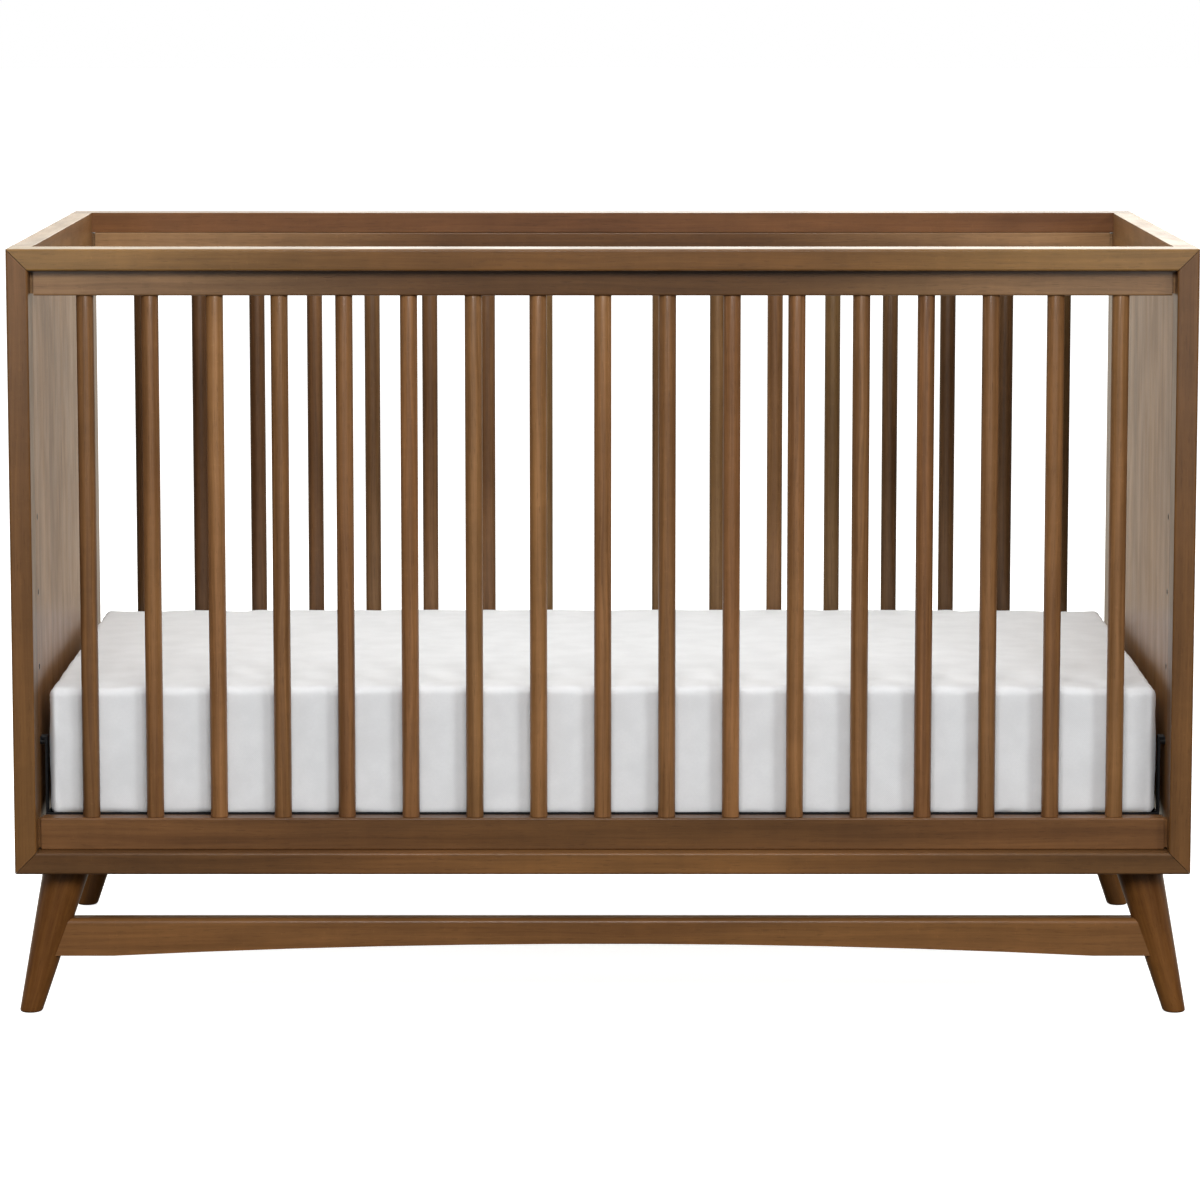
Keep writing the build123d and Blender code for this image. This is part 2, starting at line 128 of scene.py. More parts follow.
def sums(tree, operation, first, second=0.0, third=0.0):
    """One step of arithmetic."""
    node = add(tree, "ShaderNodeMath", operation=operation)
    for socket, value in zip(node.inputs, (first, second, third)):
        feed(tree, socket, value)
    return node.outputs[0]


def remap(tree, value, low_in, high_in, low_out=0.0, high_out=1.0, smooth=True):
    """Stretches a range of values over another range, held at both ends."""
    node = add(
        tree, "ShaderNodeMapRange",
        [("Value", value), ("From Min", low_in), ("From Max", high_in),
         ("To Min", low_out), ("To Max", high_out)],
        interpolation_type="SMOOTHSTEP" if smooth else "LINEAR",
    )
    return node.outputs[0]


def speckle(tree, place, scale, detail=2.0, roughness=0.5, distortion=0.0):
    """Cloudy noise at a place, from 0 to 1."""
    node = add(
        tree, "ShaderNodeTexNoise",
        [("Vector", place), ("Scale", scale), ("Detail", detail),
         ("Roughness", roughness), ("Distortion", distortion)],
    )
    return node.outputs["Fac"]


def stretched(tree, place, along, across):
    """A place scaled by one amount along the grain, which is X here, and another across it."""
    node = add(
        tree, "ShaderNodeMapping",
        [("Vector", place), ("Scale", (along, across, across))],
    )
    return node.outputs[0]


def vectors(tree, operation, first, second):
    """One step of arithmetic on two places or directions."""
    node = add(tree, "ShaderNodeVectorMath", [(0, first), (1, second)], operation=operation)
    return node.outputs[0]


def split(tree, value):
    """A place or direction taken apart into its outputs X, Y and Z."""
    return add(tree, "ShaderNodeSeparateXYZ", [("Vector", value)]).outputs


def dice(tree, spot):
    """A chance number from 0 to 1 for each spot, the same in every run."""
    node = add(tree, "ShaderNodeTexWhiteNoise", [("Vector", spot)], noise_dimensions="3D")
    return node.outputs["Value"]


def raise_skin(tree, shader, height, strength, depth):
    """Shades a skin as if it had this height. depth is in metres, for a height of one."""
    bump = add(
        tree, "ShaderNodeBump",
        [("Height", height), ("Strength", strength), ("Distance", depth)],
    )
    feed(tree, shader.inputs["Normal"], bump.outputs[0])


def blended(tree, amount, first, second, way="MIX"):
    """Two colours mixed by an amount."""
    node = add(tree, "ShaderNodeMix", data_type="RGBA", blend_type=way)
    feed(tree, node.inputs[0], amount)
    feed(tree, node.inputs[6], first)
    feed(tree, node.inputs[7], second)
    return node.outputs[2]


def colour(red, green, blue):
    """A colour written as the eye sees it, 0 to 255, turned into light."""
    shares = np.array([red, green, blue]) / 255.0
    light = np.where(shares <= 0.04045, shares / 12.92, ((shares + 0.055) / 1.055) ** 2.4)
    return (*light.tolist(), 1.0)


print("a mid brown as light:", [round(x, 3) for x in colour(114, 81, 55)[:3]])

# %% [markdown]
# Walnut stain on a plain hardwood shows four things, from large to small: soft lighter and
# darker clouds, streaks along the grain, fine short pores, and a satin lacquer over it all.
# The pattern is solid, worked out from where a point is in the wood, so the end of a board
# shows the same wood as its face. Each recipe turns the pattern to the way its piece was cut.
# The scales below say how many cells of noise go into a metre along the grain and across it,
# and the factors say how much darker or lighter the wood gets at each end of the noise.

# %% The walnut recipe
GRAIN_TURN = {
    "x": (0.0, 0.0, 0.0),
    "y": (0.0, 0.0, -math.pi / 2),
    "z": (0.0, math.pi / 2, 0.0),
}
WOOD_GLOSS = 0.12             # specular level of the stained wood itself
LACQUER_ROUGHNESS = 0.20
BARE_WOOD = (1.12, 1.22, 1.10)    # what the wood under a thin stain does to its colour
REDDER, GREENER = (1.05, 0.97, 0.97, 1.0), (0.97, 1.03, 1.0, 1.0)
# Painted light and shade: a board's painted end light and end shade grow between these distances from
# the crib's middle.
PAINTED_ENDS_FROM, PAINTED_ENDS_TO = 0.15, 0.64   # metres from the crib's middle, where a board's tone changes


def walnut(name, grain, dark, light, seed, streak=60.0, cloud=0.10, drift=0.09,
           tilt=0.0, piece_pitch=0.0, piece_tone=0.0, lacquer=0.25, gloss=0.38, ends=None):
    """Stained wood whose grain runs along one axis, leaning by tilt.

    dark and light are its streaks, and seed moves the pattern so that no two stains repeat.
    streak is how fine the streaks are, and cloud and drift how strong the small and large
    clouds are. In a row of pieces piece_pitch apart, each gets a tone of its own, up to
    piece_tone. gloss is the roughness, and ends multiplies the colour at the two ends of a long
    board: above one it is painted light and sheen, below one it is painted shade.
    """
    material, tree, shader = start_material(name)
    where = add(tree, "ShaderNodeTexCoord").outputs["Object"]
    turn = list(GRAIN_TURN[grain])
    turn[1] += tilt
    place = (seed * 1.7, seed * 0.9, seed * 2.3)
    wood = add(
        tree, "ShaderNodeMapping",
        [("Vector", where), ("Rotation", turn), ("Location", place)],
    ).outputs[0]

    # The grain wanders sideways a little as it runs, by at most 10 mm.
    sway = add(
        tree, "ShaderNodeTexNoise",
        [("Vector", stretched(tree, wood, 2.4, 9.0)), ("Scale", 1.0), ("Detail", 2.0)],
    ).outputs["Color"]
    sway = vectors(tree, "SUBTRACT", sway, (0.5, 0.5, 0.5))
    sway = vectors(tree, "MULTIPLY", sway, (0.0, 0.02, 0.02))
    bent = vectors(tree, "ADD", wood, sway)

    streaks = speckle(tree, stretched(tree, bent, 1.6, streak), 1.0, 5.0, 0.62)
    streaks = remap(tree, streaks, 0.33, 0.67)
    patches = speckle(tree, stretched(tree, wood, 1.7, 6.0), 1.0, 1.0)
    clouds = speckle(tree, stretched(tree, wood, 9.0, 26.0), 1.0, 3.0, 0.55)
    ripple = speckle(tree, stretched(tree, bent, 60.0, 14.0), 1.0, 2.0, 0.5, 0.4)
    pores = remap(tree, speckle(tree, stretched(tree, bent, 60.0, 1000.0), 1.0, 1.0), 0.60, 0.72)
    hairs = speckle(tree, stretched(tree, bent, 5.0, 380.0), 1.0, 2.0, 0.6)
    flecks = remap(tree, speckle(tree, stretched(tree, bent, 420.0, 160.0), 1.0, 1.0), 0.66, 0.76)

    base = blended(tree, streaks, dark, light)
    # Where the stain is thin, the wood under it shows a warmer, yellower brown.
    bare = (*(part * more for part, more in zip(light, BARE_WOOD)), 1.0)
    base = blended(tree, remap(tree, patches, 0.45, 0.72, 0.0, 0.30), base, bare)
    shade = remap(tree, patches, 0.30, 0.70, 1.0 - drift, 1.0 + drift)
    for noise, low_in, high_in, low_out, high_out in (
        (clouds, 0.30, 0.70, 1.0 - cloud, 1.0 + cloud),
        (ripple, 0.30, 0.70, 0.97, 1.03),
        (hairs, 0.30, 0.70, 0.93, 1.06),
        (pores, 0.0, 1.0, 1.0, 0.80),
        (flecks, 0.0, 1.0, 1.0, 1.10),
    ):
        factor = remap(tree, noise, low_in, high_in, low_out, high_out)
        shade = sums(tree, "MULTIPLY", shade, factor)
    if ends is not None:
        # Painted light and shade: ends above one make the two ends of a long board lighter, as
        # painted light and sheen, and ends below one make them darker, as painted shade.
        from_middle = sums(tree, "ABSOLUTE", split(tree, where)["X"])
        painted_end_light_and_shade = blended(tree, 1.0, base, (*ends, 1.0), "MULTIPLY")
        base = blended(tree, remap(tree, from_middle, PAINTED_ENDS_FROM, PAINTED_ENDS_TO), base, painted_end_light_and_shade)
    if piece_pitch:
        # Each piece of a row is cut from another board, so each has a tone of its own.
        axes = split(tree, where)
        step = sums(tree, "SNAP", sums(tree, "ADD", axes["X"], piece_pitch / 2), piece_pitch)
        row = sums(tree, "SNAP", axes["Y"], 0.3)
        spot = add(tree, "ShaderNodeCombineXYZ", [("X", step), ("Y", row)]).outputs[0]
        tone = dice(tree, spot)
        tone = remap(tree, tone, 0.0, 1.0, 1 - piece_tone, 1 + piece_tone, smooth=False)
        shade = sums(tree, "MULTIPLY", shade, tone)
        hue = dice(tree, vectors(tree, "ADD", spot, (5.0, 3.0, 1.0)))
        redder = blended(tree, 1.0, base, REDDER, "MULTIPLY")
        greener = blended(tree, 1.0, base, GREENER, "MULTIPLY")
        base = blended(tree, hue, redder, greener)
    grey = add(
        tree, "ShaderNodeCombineColor",
        [("Red", shade), ("Green", shade), ("Blue", shade)],
    ).outputs[0]
    feed(tree, shader.inputs["Base Color"], blended(tree, 1.0, base, grey, "MULTIPLY"))

    feed(tree, shader.inputs["Roughness"], remap(tree, clouds, 0.3, 0.7, gloss + 0.05, gloss - 0.04))
    relief = sums(tree, "MULTIPLY_ADD", pores, -0.6, sums(tree, "MULTIPLY", hairs, 0.35))
    raise_skin(tree, shader, relief, 0.15, 0.0006)
    shader.inputs["Specular IOR Level"].default_value = WOOD_GLOSS
    shader.inputs["Coat Weight"].default_value = lacquer
    shader.inputs["Coat Roughness"].default_value = LACQUER_ROUGHNESS
    return material


def dress(material, *names):
    """Gives a material to parts of the frame."""
    for name in names:
        nodes[name].data.materials.clear()
        nodes[name].data.materials.append(material)


print("grain can run along:", ", ".join(GRAIN_TURN))

# %% [markdown]
# The two picture frames are solid boards: the grain runs along each board, so it turns the
# corner at the mitre. Long boards and upright posts therefore get the same stain with the
# grain turned, and a seed of their own so that no two show the same streaks. The top boards and
# the gate rails are painted paler towards their ends, as painted light and sheen, and the bottom
# boards darker there, as painted shade. The rear top board gets a darker copy of the stain, as
# painted shade. Each ends value multiplies red, green and blue at the far ends.

# %% Frame boards and posts
# Painted light and sheen: the front top board's ends are made paler and greyer.
top_board_walnut_painted_end_light = walnut(
    "top_board_walnut_painted_end_light", "x", colour(103, 69, 34), colour(119, 81, 42), 1.0,
    ends=(1.36, 1.58, 1.68),
)
# Painted shade: the bottom boards' ends are made darker.
bottom_board_walnut_painted_end_shade = walnut(
    "bottom_board_walnut_painted_end_shade", "x", colour(105, 69, 37), colour(121, 82, 46), 12.0,
    ends=(0.66, 0.69, 0.73),
)
post_walnut = walnut(
    "post_walnut", "z", colour(103, 69, 36), colour(120, 82, 45), 2.0,
    cloud=0.08, drift=0.04,
)
gate_dark, gate_light = colour(84, 55, 30), colour(99, 67, 38)
# Painted light and sheen: the gate top rails' ends are made much paler and greyer.
gate_top_walnut_painted_end_light = walnut(
    "gate_top_walnut_painted_end_light", "x", gate_dark, gate_light, 3.0,
    ends=(2.65, 3.3, 4.3),
)
# Painted light: the gate bottom rails' ends are made paler.
gate_bottom_walnut_painted_end_light = walnut(
    "gate_bottom_walnut_painted_end_light", "x", gate_dark, gate_light, 13.0,
    ends=(1.6, 1.6, 1.6),
)
# Painted shade and light: the rear top board gets a darker copy of the top board's stain, with slightly
# lighter ends.
rear_top_walnut_painted_light_and_shade = walnut(
    "rear_top_walnut_painted_light_and_shade", "x", colour(93, 58, 33), colour(108, 70, 41), 15.0,
    ends=(1.1, 1.1, 1.1),
)
dress(top_board_walnut_painted_end_light, "front_top_board")
dress(rear_top_walnut_painted_light_and_shade, "rear_top_board")
for face in ("front", "rear"):
    dress(bottom_board_walnut_painted_end_shade, f"{face}_bottom_board")
    dress(post_walnut, f"{face}_left_post", f"{face}_right_post")
    dress(gate_top_walnut_painted_end_light, f"{face}_gate_top_rail")
    dress(gate_bottom_walnut_painted_end_light, f"{face}_gate_bottom_rail")
print("stains so far:", [m.name for m in bpy.data.materials if "walnut" in m.name])

# %% [markdown]
# Each end is a wide panel between stiles and rails. The panel is veneered, so its figure is
# broader and calmer than the streaks of a narrow board.

# %% Ends
end_dark, end_light = colour(122, 84, 49), colour(142, 101, 61)
end_walnut = walnut("end_walnut", "z", end_dark, end_light, 4.0, streak=42.0)
end_rail_walnut = walnut("end_rail_walnut", "y", end_dark, end_light, 5.0)
for hand in ("left", "right"):
    dress(end_walnut, f"{hand}_end_panel", f"{hand}_end_front_stile", f"{hand}_end_rear_stile")
    dress(end_rail_walnut, f"{hand}_end_top_rail", f"{hand}_end_bottom_rail")
panel_low, panel_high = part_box("left_end_panel")
print("an end panel measures", [round(x, 3) for x in (panel_high - panel_low)])

# %% [markdown]
# A surface can be worked out as a grid: rows along the piece and columns round it. This helper
# turns such a grid of points into a closed mesh: four-sided faces between neighbours, the last
# column joined to the first, and one flat face at each end.

# %% Grid surfaces
def closed_tube(name, points):
    """points has the shape (rows, columns, 3).

    The columns go round anticlockwise, seen from the last row, so that the faces look out.
    """
    rows, columns = points.shape[:2]
    number = np.arange(rows * columns).reshape(rows, columns)
    here, there = number[:-1], number[1:]
    sides = np.stack([here, np.roll(here, -1, 1), np.roll(there, -1, 1), there], axis=-1).reshape(-1, 4)
    faces = sides.tolist() + [number[0, ::-1].tolist(), number[-1].tolist()]
    mesh = bpy.data.meshes.new(name)
    mesh.from_pydata(points.reshape(-1, 3).tolist(), [], faces)
    mesh.shade_smooth()
    mesh.set_sharp_from_angle(angle=math.radians(35))
    piece = bpy.data.objects.new(name, mesh)
    bpy.context.scene.collection.objects.link(piece)
    return piece


def join_copies(name, pieces):
    """Several meshes made one object, which then stands for a group of parts."""
    whole = bmesh.new()
    for piece in pieces:
        whole.from_mesh(piece.data)
    mesh = bpy.data.meshes.new(name)
    whole.to_mesh(mesh)
    whole.free()
    mesh.shade_smooth()
    mesh.set_sharp_from_angle(angle=math.radians(35))
    mesh.materials.append(pieces[0].data.materials[0])
    joined = bpy.data.objects.new(name, mesh)
    bpy.context.scene.collection.objects.link(joined)
    for piece in pieces:
        bpy.data.objects.remove(piece)
    return joined


print("a tube of 3 rows and 4 columns has", (3 - 1) * 4 + 2, "faces")

# %% [markdown]
# A spindle is turned on a lathe, so its shape is one outline carried round an axis: a thin
# tenon at each end, a tiny rounded shoulder, and a straight body. A cylinder would do for the
# body, but the outline also gives the shoulder and a smooth skin. The tenons sit in the rails.

# %% Spindles
tenon_radius = 0.006
shoulder_round = 0.0008
spindle_sides = 40


def spindle_points(x, y, bottom, top, radius, tenon):
    """Outline radius r at height z, carried round: x + r cos a, y + r sin a, z."""
    ends = np.linspace(0.0, math.pi / 2, 4)
    out = radius - shoulder_round + shoulder_round * np.sin(ends)
    up = bottom + shoulder_round - shoulder_round * np.cos(ends)
    body = np.linspace(bottom + shoulder_round, top - shoulder_round, 9)[1:-1]
    r = np.concatenate([[tenon_radius, tenon_radius], out, np.full(body.size, radius), out[::-1],
                        [tenon_radius, tenon_radius]])
    z = np.concatenate([[bottom - tenon, bottom], up, body, (bottom + top) - up[::-1],
                        [top, top + tenon]])
    a = np.linspace(0.0, 2 * math.pi, spindle_sides, endpoint=False)
    return np.stack([x + np.outer(r, np.cos(a)), y + np.outer(r, np.sin(a)),
                     np.repeat(z[:, None], spindle_sides, 1)], axis=-1)


spindle_names = sorted(name for name in nodes if name.startswith("front_spindle_"))
spindle_boxes = [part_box(name) for name in spindle_names]
spindle_middles = [(box[0].x + box[1].x) / 2 for box in spindle_boxes]
spindle_radius = (spindle_boxes[0][1].x - spindle_boxes[0][0].x) / 2
spindle_pitch = spindle_middles[1] - spindle_middles[0]
rail_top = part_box("front_gate_bottom_rail")[1].z
rail_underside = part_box("front_gate_top_rail")[0].z
tenon_length = rail_top - spindle_boxes[0][0].z
front_gate_y = (spindle_boxes[0][0].y + spindle_boxes[0][1].y) / 2

# Painted shade: the rear row's spindles get a darker stain than the front row's, and darker
# still towards the ends of the crib.
spindle_walnut = {
    front_gate_y: walnut(
        "front_spindle_walnut", "z", colour(112, 78, 47), colour(139, 100, 63), 6.0,
        streak=150.0, piece_pitch=spindle_pitch, piece_tone=0.12,
    ),
    -front_gate_y: walnut(
        "rear_spindle_walnut_painted_shade", "z", colour(99, 71, 45), colour(122, 90, 59), 14.0,
        streak=150.0, piece_pitch=spindle_pitch, piece_tone=0.10, ends=(0.48, 0.48, 0.48),
    ),
}


def spindle(name, x, y):
    """One spindle of the row at y, between its gate's rails."""
    points = spindle_points(x, y, rail_top, rail_underside, spindle_radius, tenon_length)
    piece = closed_tube(name, points)
    piece.data.materials.append(spindle_walnut[y])
    return piece


for name, x in zip(spindle_names, spindle_middles):
    piece = spindle("turned_" + name, x, front_gate_y)
    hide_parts(name)
    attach(piece, "crib")
rear_spindles = [
    spindle(f"rear_{number}", x, -front_gate_y) for number, x in enumerate(spindle_middles)
]
rear_row = join_copies("turned_rear_spindles", rear_spindles)
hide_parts("rear_spindles")
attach(rear_row, "crib")
print(len(spindle_middles), "spindles a side,", round(spindle_pitch * 1000, 1), "mm apart")

# %% [markdown]
# A leg is a cone turned on a lathe, leaning outwards, and then cut level at the floor and at
# the box. Its rows are therefore level cuts through a leaning cone. Each column is one straight
# line of the cone, from the rim at the box down to the foot, where the rim is rounded over.

# %% Legs
leg_top_radius, leg_foot_radius = 0.0275, 0.013
leg_splay, leg_height = 0.046, 0.178
foot_round = 0.0035
leg_sides = 56


def leg_points(side_x, foot_x, y):
    """Each column's line of the leaning cone, met with level planes.

    A point at t along the axis and at angle a round it is foot + t axis + r(t) (cos a u + sin a v).
    Solving its height for t gives the column's point on any level plane.
    """
    length = math.hypot(leg_splay, leg_height)
    axis = np.array([-leg_splay / length, 0.0, leg_height / length])
    across = np.array([leg_height / length, 0.0, leg_splay / length])
    slope = (leg_top_radius - leg_foot_radius) / length
    a = np.linspace(0.0, 2 * math.pi, leg_sides, endpoint=False)[None, :]
    curve = np.linspace(0.0, math.pi / 2, 6)
    straight = np.linspace(foot_round, leg_height, 12)[1:]
    lift = np.concatenate([foot_round * (1 - np.cos(curve)), straight])
    pull = np.concatenate([foot_round * (1 - np.sin(curve)), np.zeros(straight.size)])
    lift, pull = lift[:, None], pull[:, None]
    t = (lift - leg_foot_radius * np.cos(a) * across[2]) / (axis[2] + slope * np.cos(a) * across[2])
    radius = leg_foot_radius + slope * t
    out = t * axis[0] + radius * np.cos(a) * across[0]
    aside = radius * np.sin(a) + 0.0 * t
    middle = (lift / leg_height) * -leg_splay
    reach = np.hypot(out - middle, aside)
    keep = 1 - pull / reach
    out, aside = middle + (out - middle) * keep, aside * keep
    x = foot_x + side_x * out
    z = np.broadcast_to(lift, x.shape)
    points = np.stack([x, y + aside, z], axis=-1)
    return points if side_x > 0 else points[:, ::-1]


leg_lean = math.atan2(leg_splay, leg_height)
leg_dark, leg_light = colour(102, 63, 28), colour(122, 79, 39)
leg_walnut = {
    1: walnut("right_leg_walnut", "z", leg_dark, leg_light, 7.0, streak=90.0, tilt=leg_lean),
    -1: walnut("left_leg_walnut", "z", leg_dark, leg_light, 8.0, streak=90.0, tilt=-leg_lean),
}
feet = {mount["name"]: mount["pos_m"] for mount in frame["record"]["mounts"]}
for face in ("front", "rear"):
    for side_x, hand in ((-1, "left"), (1, "right")):
        name = f"{face}_{hand}_leg"
        box_low, box_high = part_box(name)
        middle_y = (box_low.y + box_high.y) / 2
        foot_x = feet[f"{face}_{hand}_foot"][0]
        piece = closed_tube("turned_" + name, leg_points(side_x, foot_x, middle_y))
        piece.data.materials.append(leg_walnut[side_x])
        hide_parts(name)
        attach(piece, "crib")
        corners = np.array([v.co for v in piece.data.vertices])
        off_low = abs(corners.min(0) - np.array(box_low)).max()
        off_high = abs(corners.max(0) - np.array(box_high)).max()
        print(name, "is off the frame's leg by", round(max(off_low, off_high) * 1000, 2), "mm")

# %% [markdown]
# The stretchers run between the legs, so their grain runs along X like the boards'. The blocks
# in the corners are rougher wood with little lacquer. The slats under the mattress are a plain
# pale wood that is only sanded, so they get the same recipe with light colours.

# %% Stretchers, blocks and slats
stretcher_walnut = walnut("stretcher_walnut", "x", colour(114, 76, 41), colour(132, 90, 51), 9.0)
dress(stretcher_walnut, "front_stretcher", "rear_stretcher")
block_walnut = walnut(
    "block_walnut", "x", colour(92, 62, 40), colour(124, 88, 58), 10.0,
    lacquer=0.1, gloss=0.5,
)
dress(block_walnut, "corner_blocks")
slat_birch = walnut(
    "slat_birch", "y", colour(196, 166, 124), colour(226, 200, 160), 11.0,
    streak=90.0, cloud=0.06, drift=0.05, lacquer=0.05, gloss=0.5,
)
dress(slat_birch, "support_slats")
slats_low, slats_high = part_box("support_slats")
print("the slats fill", [round(x, 3) for x in (slats_high - slats_low)])

# %% [markdown]
# The hanging frame and its hooks are steel with a black powder coat: not shiny, with a very
# fine orange-peel texture. The gate bolts, hanger studs and inserts are black oxide steel, dark
# so that they don't show in the gaps. The rest is zinc plated: a pale metal, clouded by its
# plating. All are noise at the right scale on colour and roughness, and the powder coat and the
# plating on bump too.

# %% Steel
def powder_coat(name):
    """Black powder coat with a fine orange peel."""
    material, tree, shader = start_material(name)
    where = add(tree, "ShaderNodeTexCoord").outputs["Object"]
    peel = speckle(tree, where, 900.0, 2.0)
    dust = speckle(tree, where, 24.0, 3.0)
    black = blended(tree, dust, (0.006, 0.006, 0.007, 1), (0.013, 0.013, 0.014, 1))
    feed(tree, shader.inputs["Base Color"], black)
    feed(tree, shader.inputs["Roughness"], remap(tree, dust, 0.3, 0.7, 0.55, 0.68))
    shader.inputs["Specular IOR Level"].default_value = 0.1
    raise_skin(tree, shader, peel, 0.25, 0.0004)
    return material


def zinc_plate(name):
    """Zinc plating: pale metal with faint clouds."""
    material, tree, shader = start_material(name)
    where = add(tree, "ShaderNodeTexCoord").outputs["Object"]
    clouds = speckle(tree, where, 220.0, 3.0)
    plating = blended(tree, clouds, colour(178, 176, 168), colour(214, 212, 204))
    feed(tree, shader.inputs["Base Color"], plating)
    feed(tree, shader.inputs["Roughness"], remap(tree, clouds, 0.3, 0.7, 0.28, 0.42))
    shader.inputs["Metallic"].default_value = 1.0
    raise_skin(tree, shader, clouds, 0.1, 0.0003)
    return material


def black_oxide(name):
    """Black oxide on steel: dark, oily and a little worn."""
    material, tree, shader = start_material(name)
    where = add(tree, "ShaderNodeTexCoord").outputs["Object"]
    wear = speckle(tree, where, 300.0, 3.0)
    oxide = blended(tree, wear, (0.012, 0.012, 0.013, 1), (0.045, 0.043, 0.042, 1))
    feed(tree, shader.inputs["Base Color"], oxide)
    feed(tree, shader.inputs["Roughness"], remap(tree, wear, 0.3, 0.7, 0.50, 0.36))
    shader.inputs["Metallic"].default_value = 0.7
    return material


dress(powder_coat("black_powder_coat"), "support_frame", "hanger_hooks")
dress(black_oxide("black_oxide"), "hanger_studs", "hanger_inserts", "gate_bolts")
dress(zinc_plate("zinc_plating"), "gate_barrel_nuts", "leg_studs", "leg_nuts", "slat_rivets")
print("steel parts dressed")

# %% [markdown]
# The mattress is a foam block in a tight knitted cover, with straight sides, small round edges
# and a slightly crowned top. Its skin starts as a grid on a box, a little too small, whose edges
# are drawn round. Blown up as cloth for a moment, it gets the fullness of a stuffed cover that no
# exact block has. A plain block with a bevel would be quicker, but every face would stay flat.

# %% Mattress
mattress_low, mattress_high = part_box("mattress")
mattress_edge = 0.010         # rounding of the edges
skin_cell = 0.011             # size of one cell of the skin
swell = 0.0008                # how much smaller the skin starts


def rounded_block(name, small, large, edge, step):
    """A closed block with round edges, as one even skin of four-sided cells.

    A point p on the box has a nearest point q on an inner box, smaller by the edge's radius r on
    every side. It moves to q + r (p - q) / |p - q|. Over the edges the grid is finer, with lines
    at r tan a for equal steps of the angle a.
    """
    small, large = np.array(small), np.array(large)
    middle, half = (small + large) / 2, (large - small) / 2
    inner = half - edge
    curve = edge * np.tan(np.linspace(0.0, math.pi / 4, 4))[1:]
    lines = []
    for reach in inner:
        flat = np.linspace(-reach, reach, int(np.ceil(2 * reach / step)) + 1)
        lines.append(np.concatenate([-reach - curve[::-1], flat, reach + curve]))
    points, quads, count = [], [], 0
    for axis in range(3):
        one, two = (axis + 1) % 3, (axis + 2) % 3
        for side in (-1, 1):
            grid = np.zeros((lines[one].size, lines[two].size, 3))
            grid[..., one], grid[..., two] = np.meshgrid(lines[one], lines[two], indexing="ij")
            grid[..., axis] = side * half[axis]
            number = count + np.arange(grid[..., 0].size).reshape(grid.shape[:2])
            quad = [number[:-1, :-1], number[1:, :-1], number[1:, 1:], number[:-1, 1:]]
            quads.append(np.stack(quad, -1).reshape(-1, 4)[:, ::side])
            points.append(grid.reshape(-1, 3))
            count += number.size
    box = np.concatenate(points)
    nearest = np.clip(box, -inner, inner)
    away = box - nearest
    skin = middle + nearest + edge * away / np.linalg.norm(away, axis=1, keepdims=True)
    # Neighbouring faces share the points along their common edge.
    skin, shared = np.unique(np.round(skin, 6), axis=0, return_inverse=True)
    mesh = bpy.data.meshes.new(name)
    mesh.from_pydata(skin.tolist(), [], shared.reshape(-1)[np.concatenate(quads)].tolist())
    piece = bpy.data.objects.new(name, mesh)
    bpy.context.scene.collection.objects.link(piece)
    return piece


start_low = mattress_low + Vector((swell, swell, 0.0))
start_high = mattress_high - Vector((swell, swell, swell))
cover = rounded_block("mattress_cover", start_low, start_high, mattress_edge, skin_cell)
print("mattress skin before the cloth:", len(cover.data.polygons), "faces")

# %% [markdown]
# The skin is blown up by pressure from inside, with no gravity. How far a point may go is
# limited softly, like a tight cover that gives less and less. The foam inside stops it from
# sinking in, and the gates and hooks leave it no room sideways, so only its top is crowned.

# %% Blow up the cover
cloth_frames = 20
foam_push = 0.9               # share of an inward move that the foam takes back
most_move = 0.004
side_room, end_room = 0.0004, 0.0002
crown_room = 0.004            # how far the top may stand above the plain block


def apply_all(piece):
    """Makes what the modifiers show the mesh itself."""
    graph = bpy.context.evaluated_depsgraph_get()
    mesh = bpy.data.meshes.new_from_object(piece.evaluated_get(graph))
    piece.modifiers.clear()
    piece.data = mesh


def points_of(mesh):
    """The mesh's points as an array of rows."""
    flat = np.zeros(len(mesh.vertices) * 3, np.float64)
    mesh.vertices.foreach_get("co", flat)
    return flat.reshape(-1, 3)


def blow_up(piece, most):
    """Swells a closed skin as cloth. A point that would go d goes most tanh(d / most)."""
    before = points_of(piece.data)
    cloth = piece.modifiers.new("cover_cloth", "CLOTH")
    cloth.settings.quality = 4
    cloth.settings.mass = 0.3
    cloth.settings.tension_stiffness = 30
    cloth.settings.compression_stiffness = 30
    cloth.settings.bending_stiffness = 2.0
    cloth.settings.use_pressure = True
    cloth.settings.uniform_pressure_force = 4.0
    cloth.settings.effector_weights.gravity = 0.0
    cloth.collision_settings.use_collision = False
    cloth.point_cache.frame_start, cloth.point_cache.frame_end = 1, cloth_frames
    for number in range(1, cloth_frames + 1):
        bpy.context.scene.frame_set(number)
    apply_all(piece)
    bpy.context.scene.frame_set(1)
    move = points_of(piece.data) - before
    outward = np.zeros(before.size, np.float32)
    piece.data.vertices.foreach_get("normal", outward)
    outward = outward.reshape(-1, 3)
    inward = np.minimum((move * outward).sum(1, keepdims=True), 0.0)
    move -= foam_push * inward * outward
    far = np.maximum(np.linalg.norm(move, axis=1, keepdims=True), 1e-9)
    print("the cloth moved at most", round(float(far.max()) * 1000, 1), "mm before the limit")
    return before + move * most * np.tanh(far / most) / far


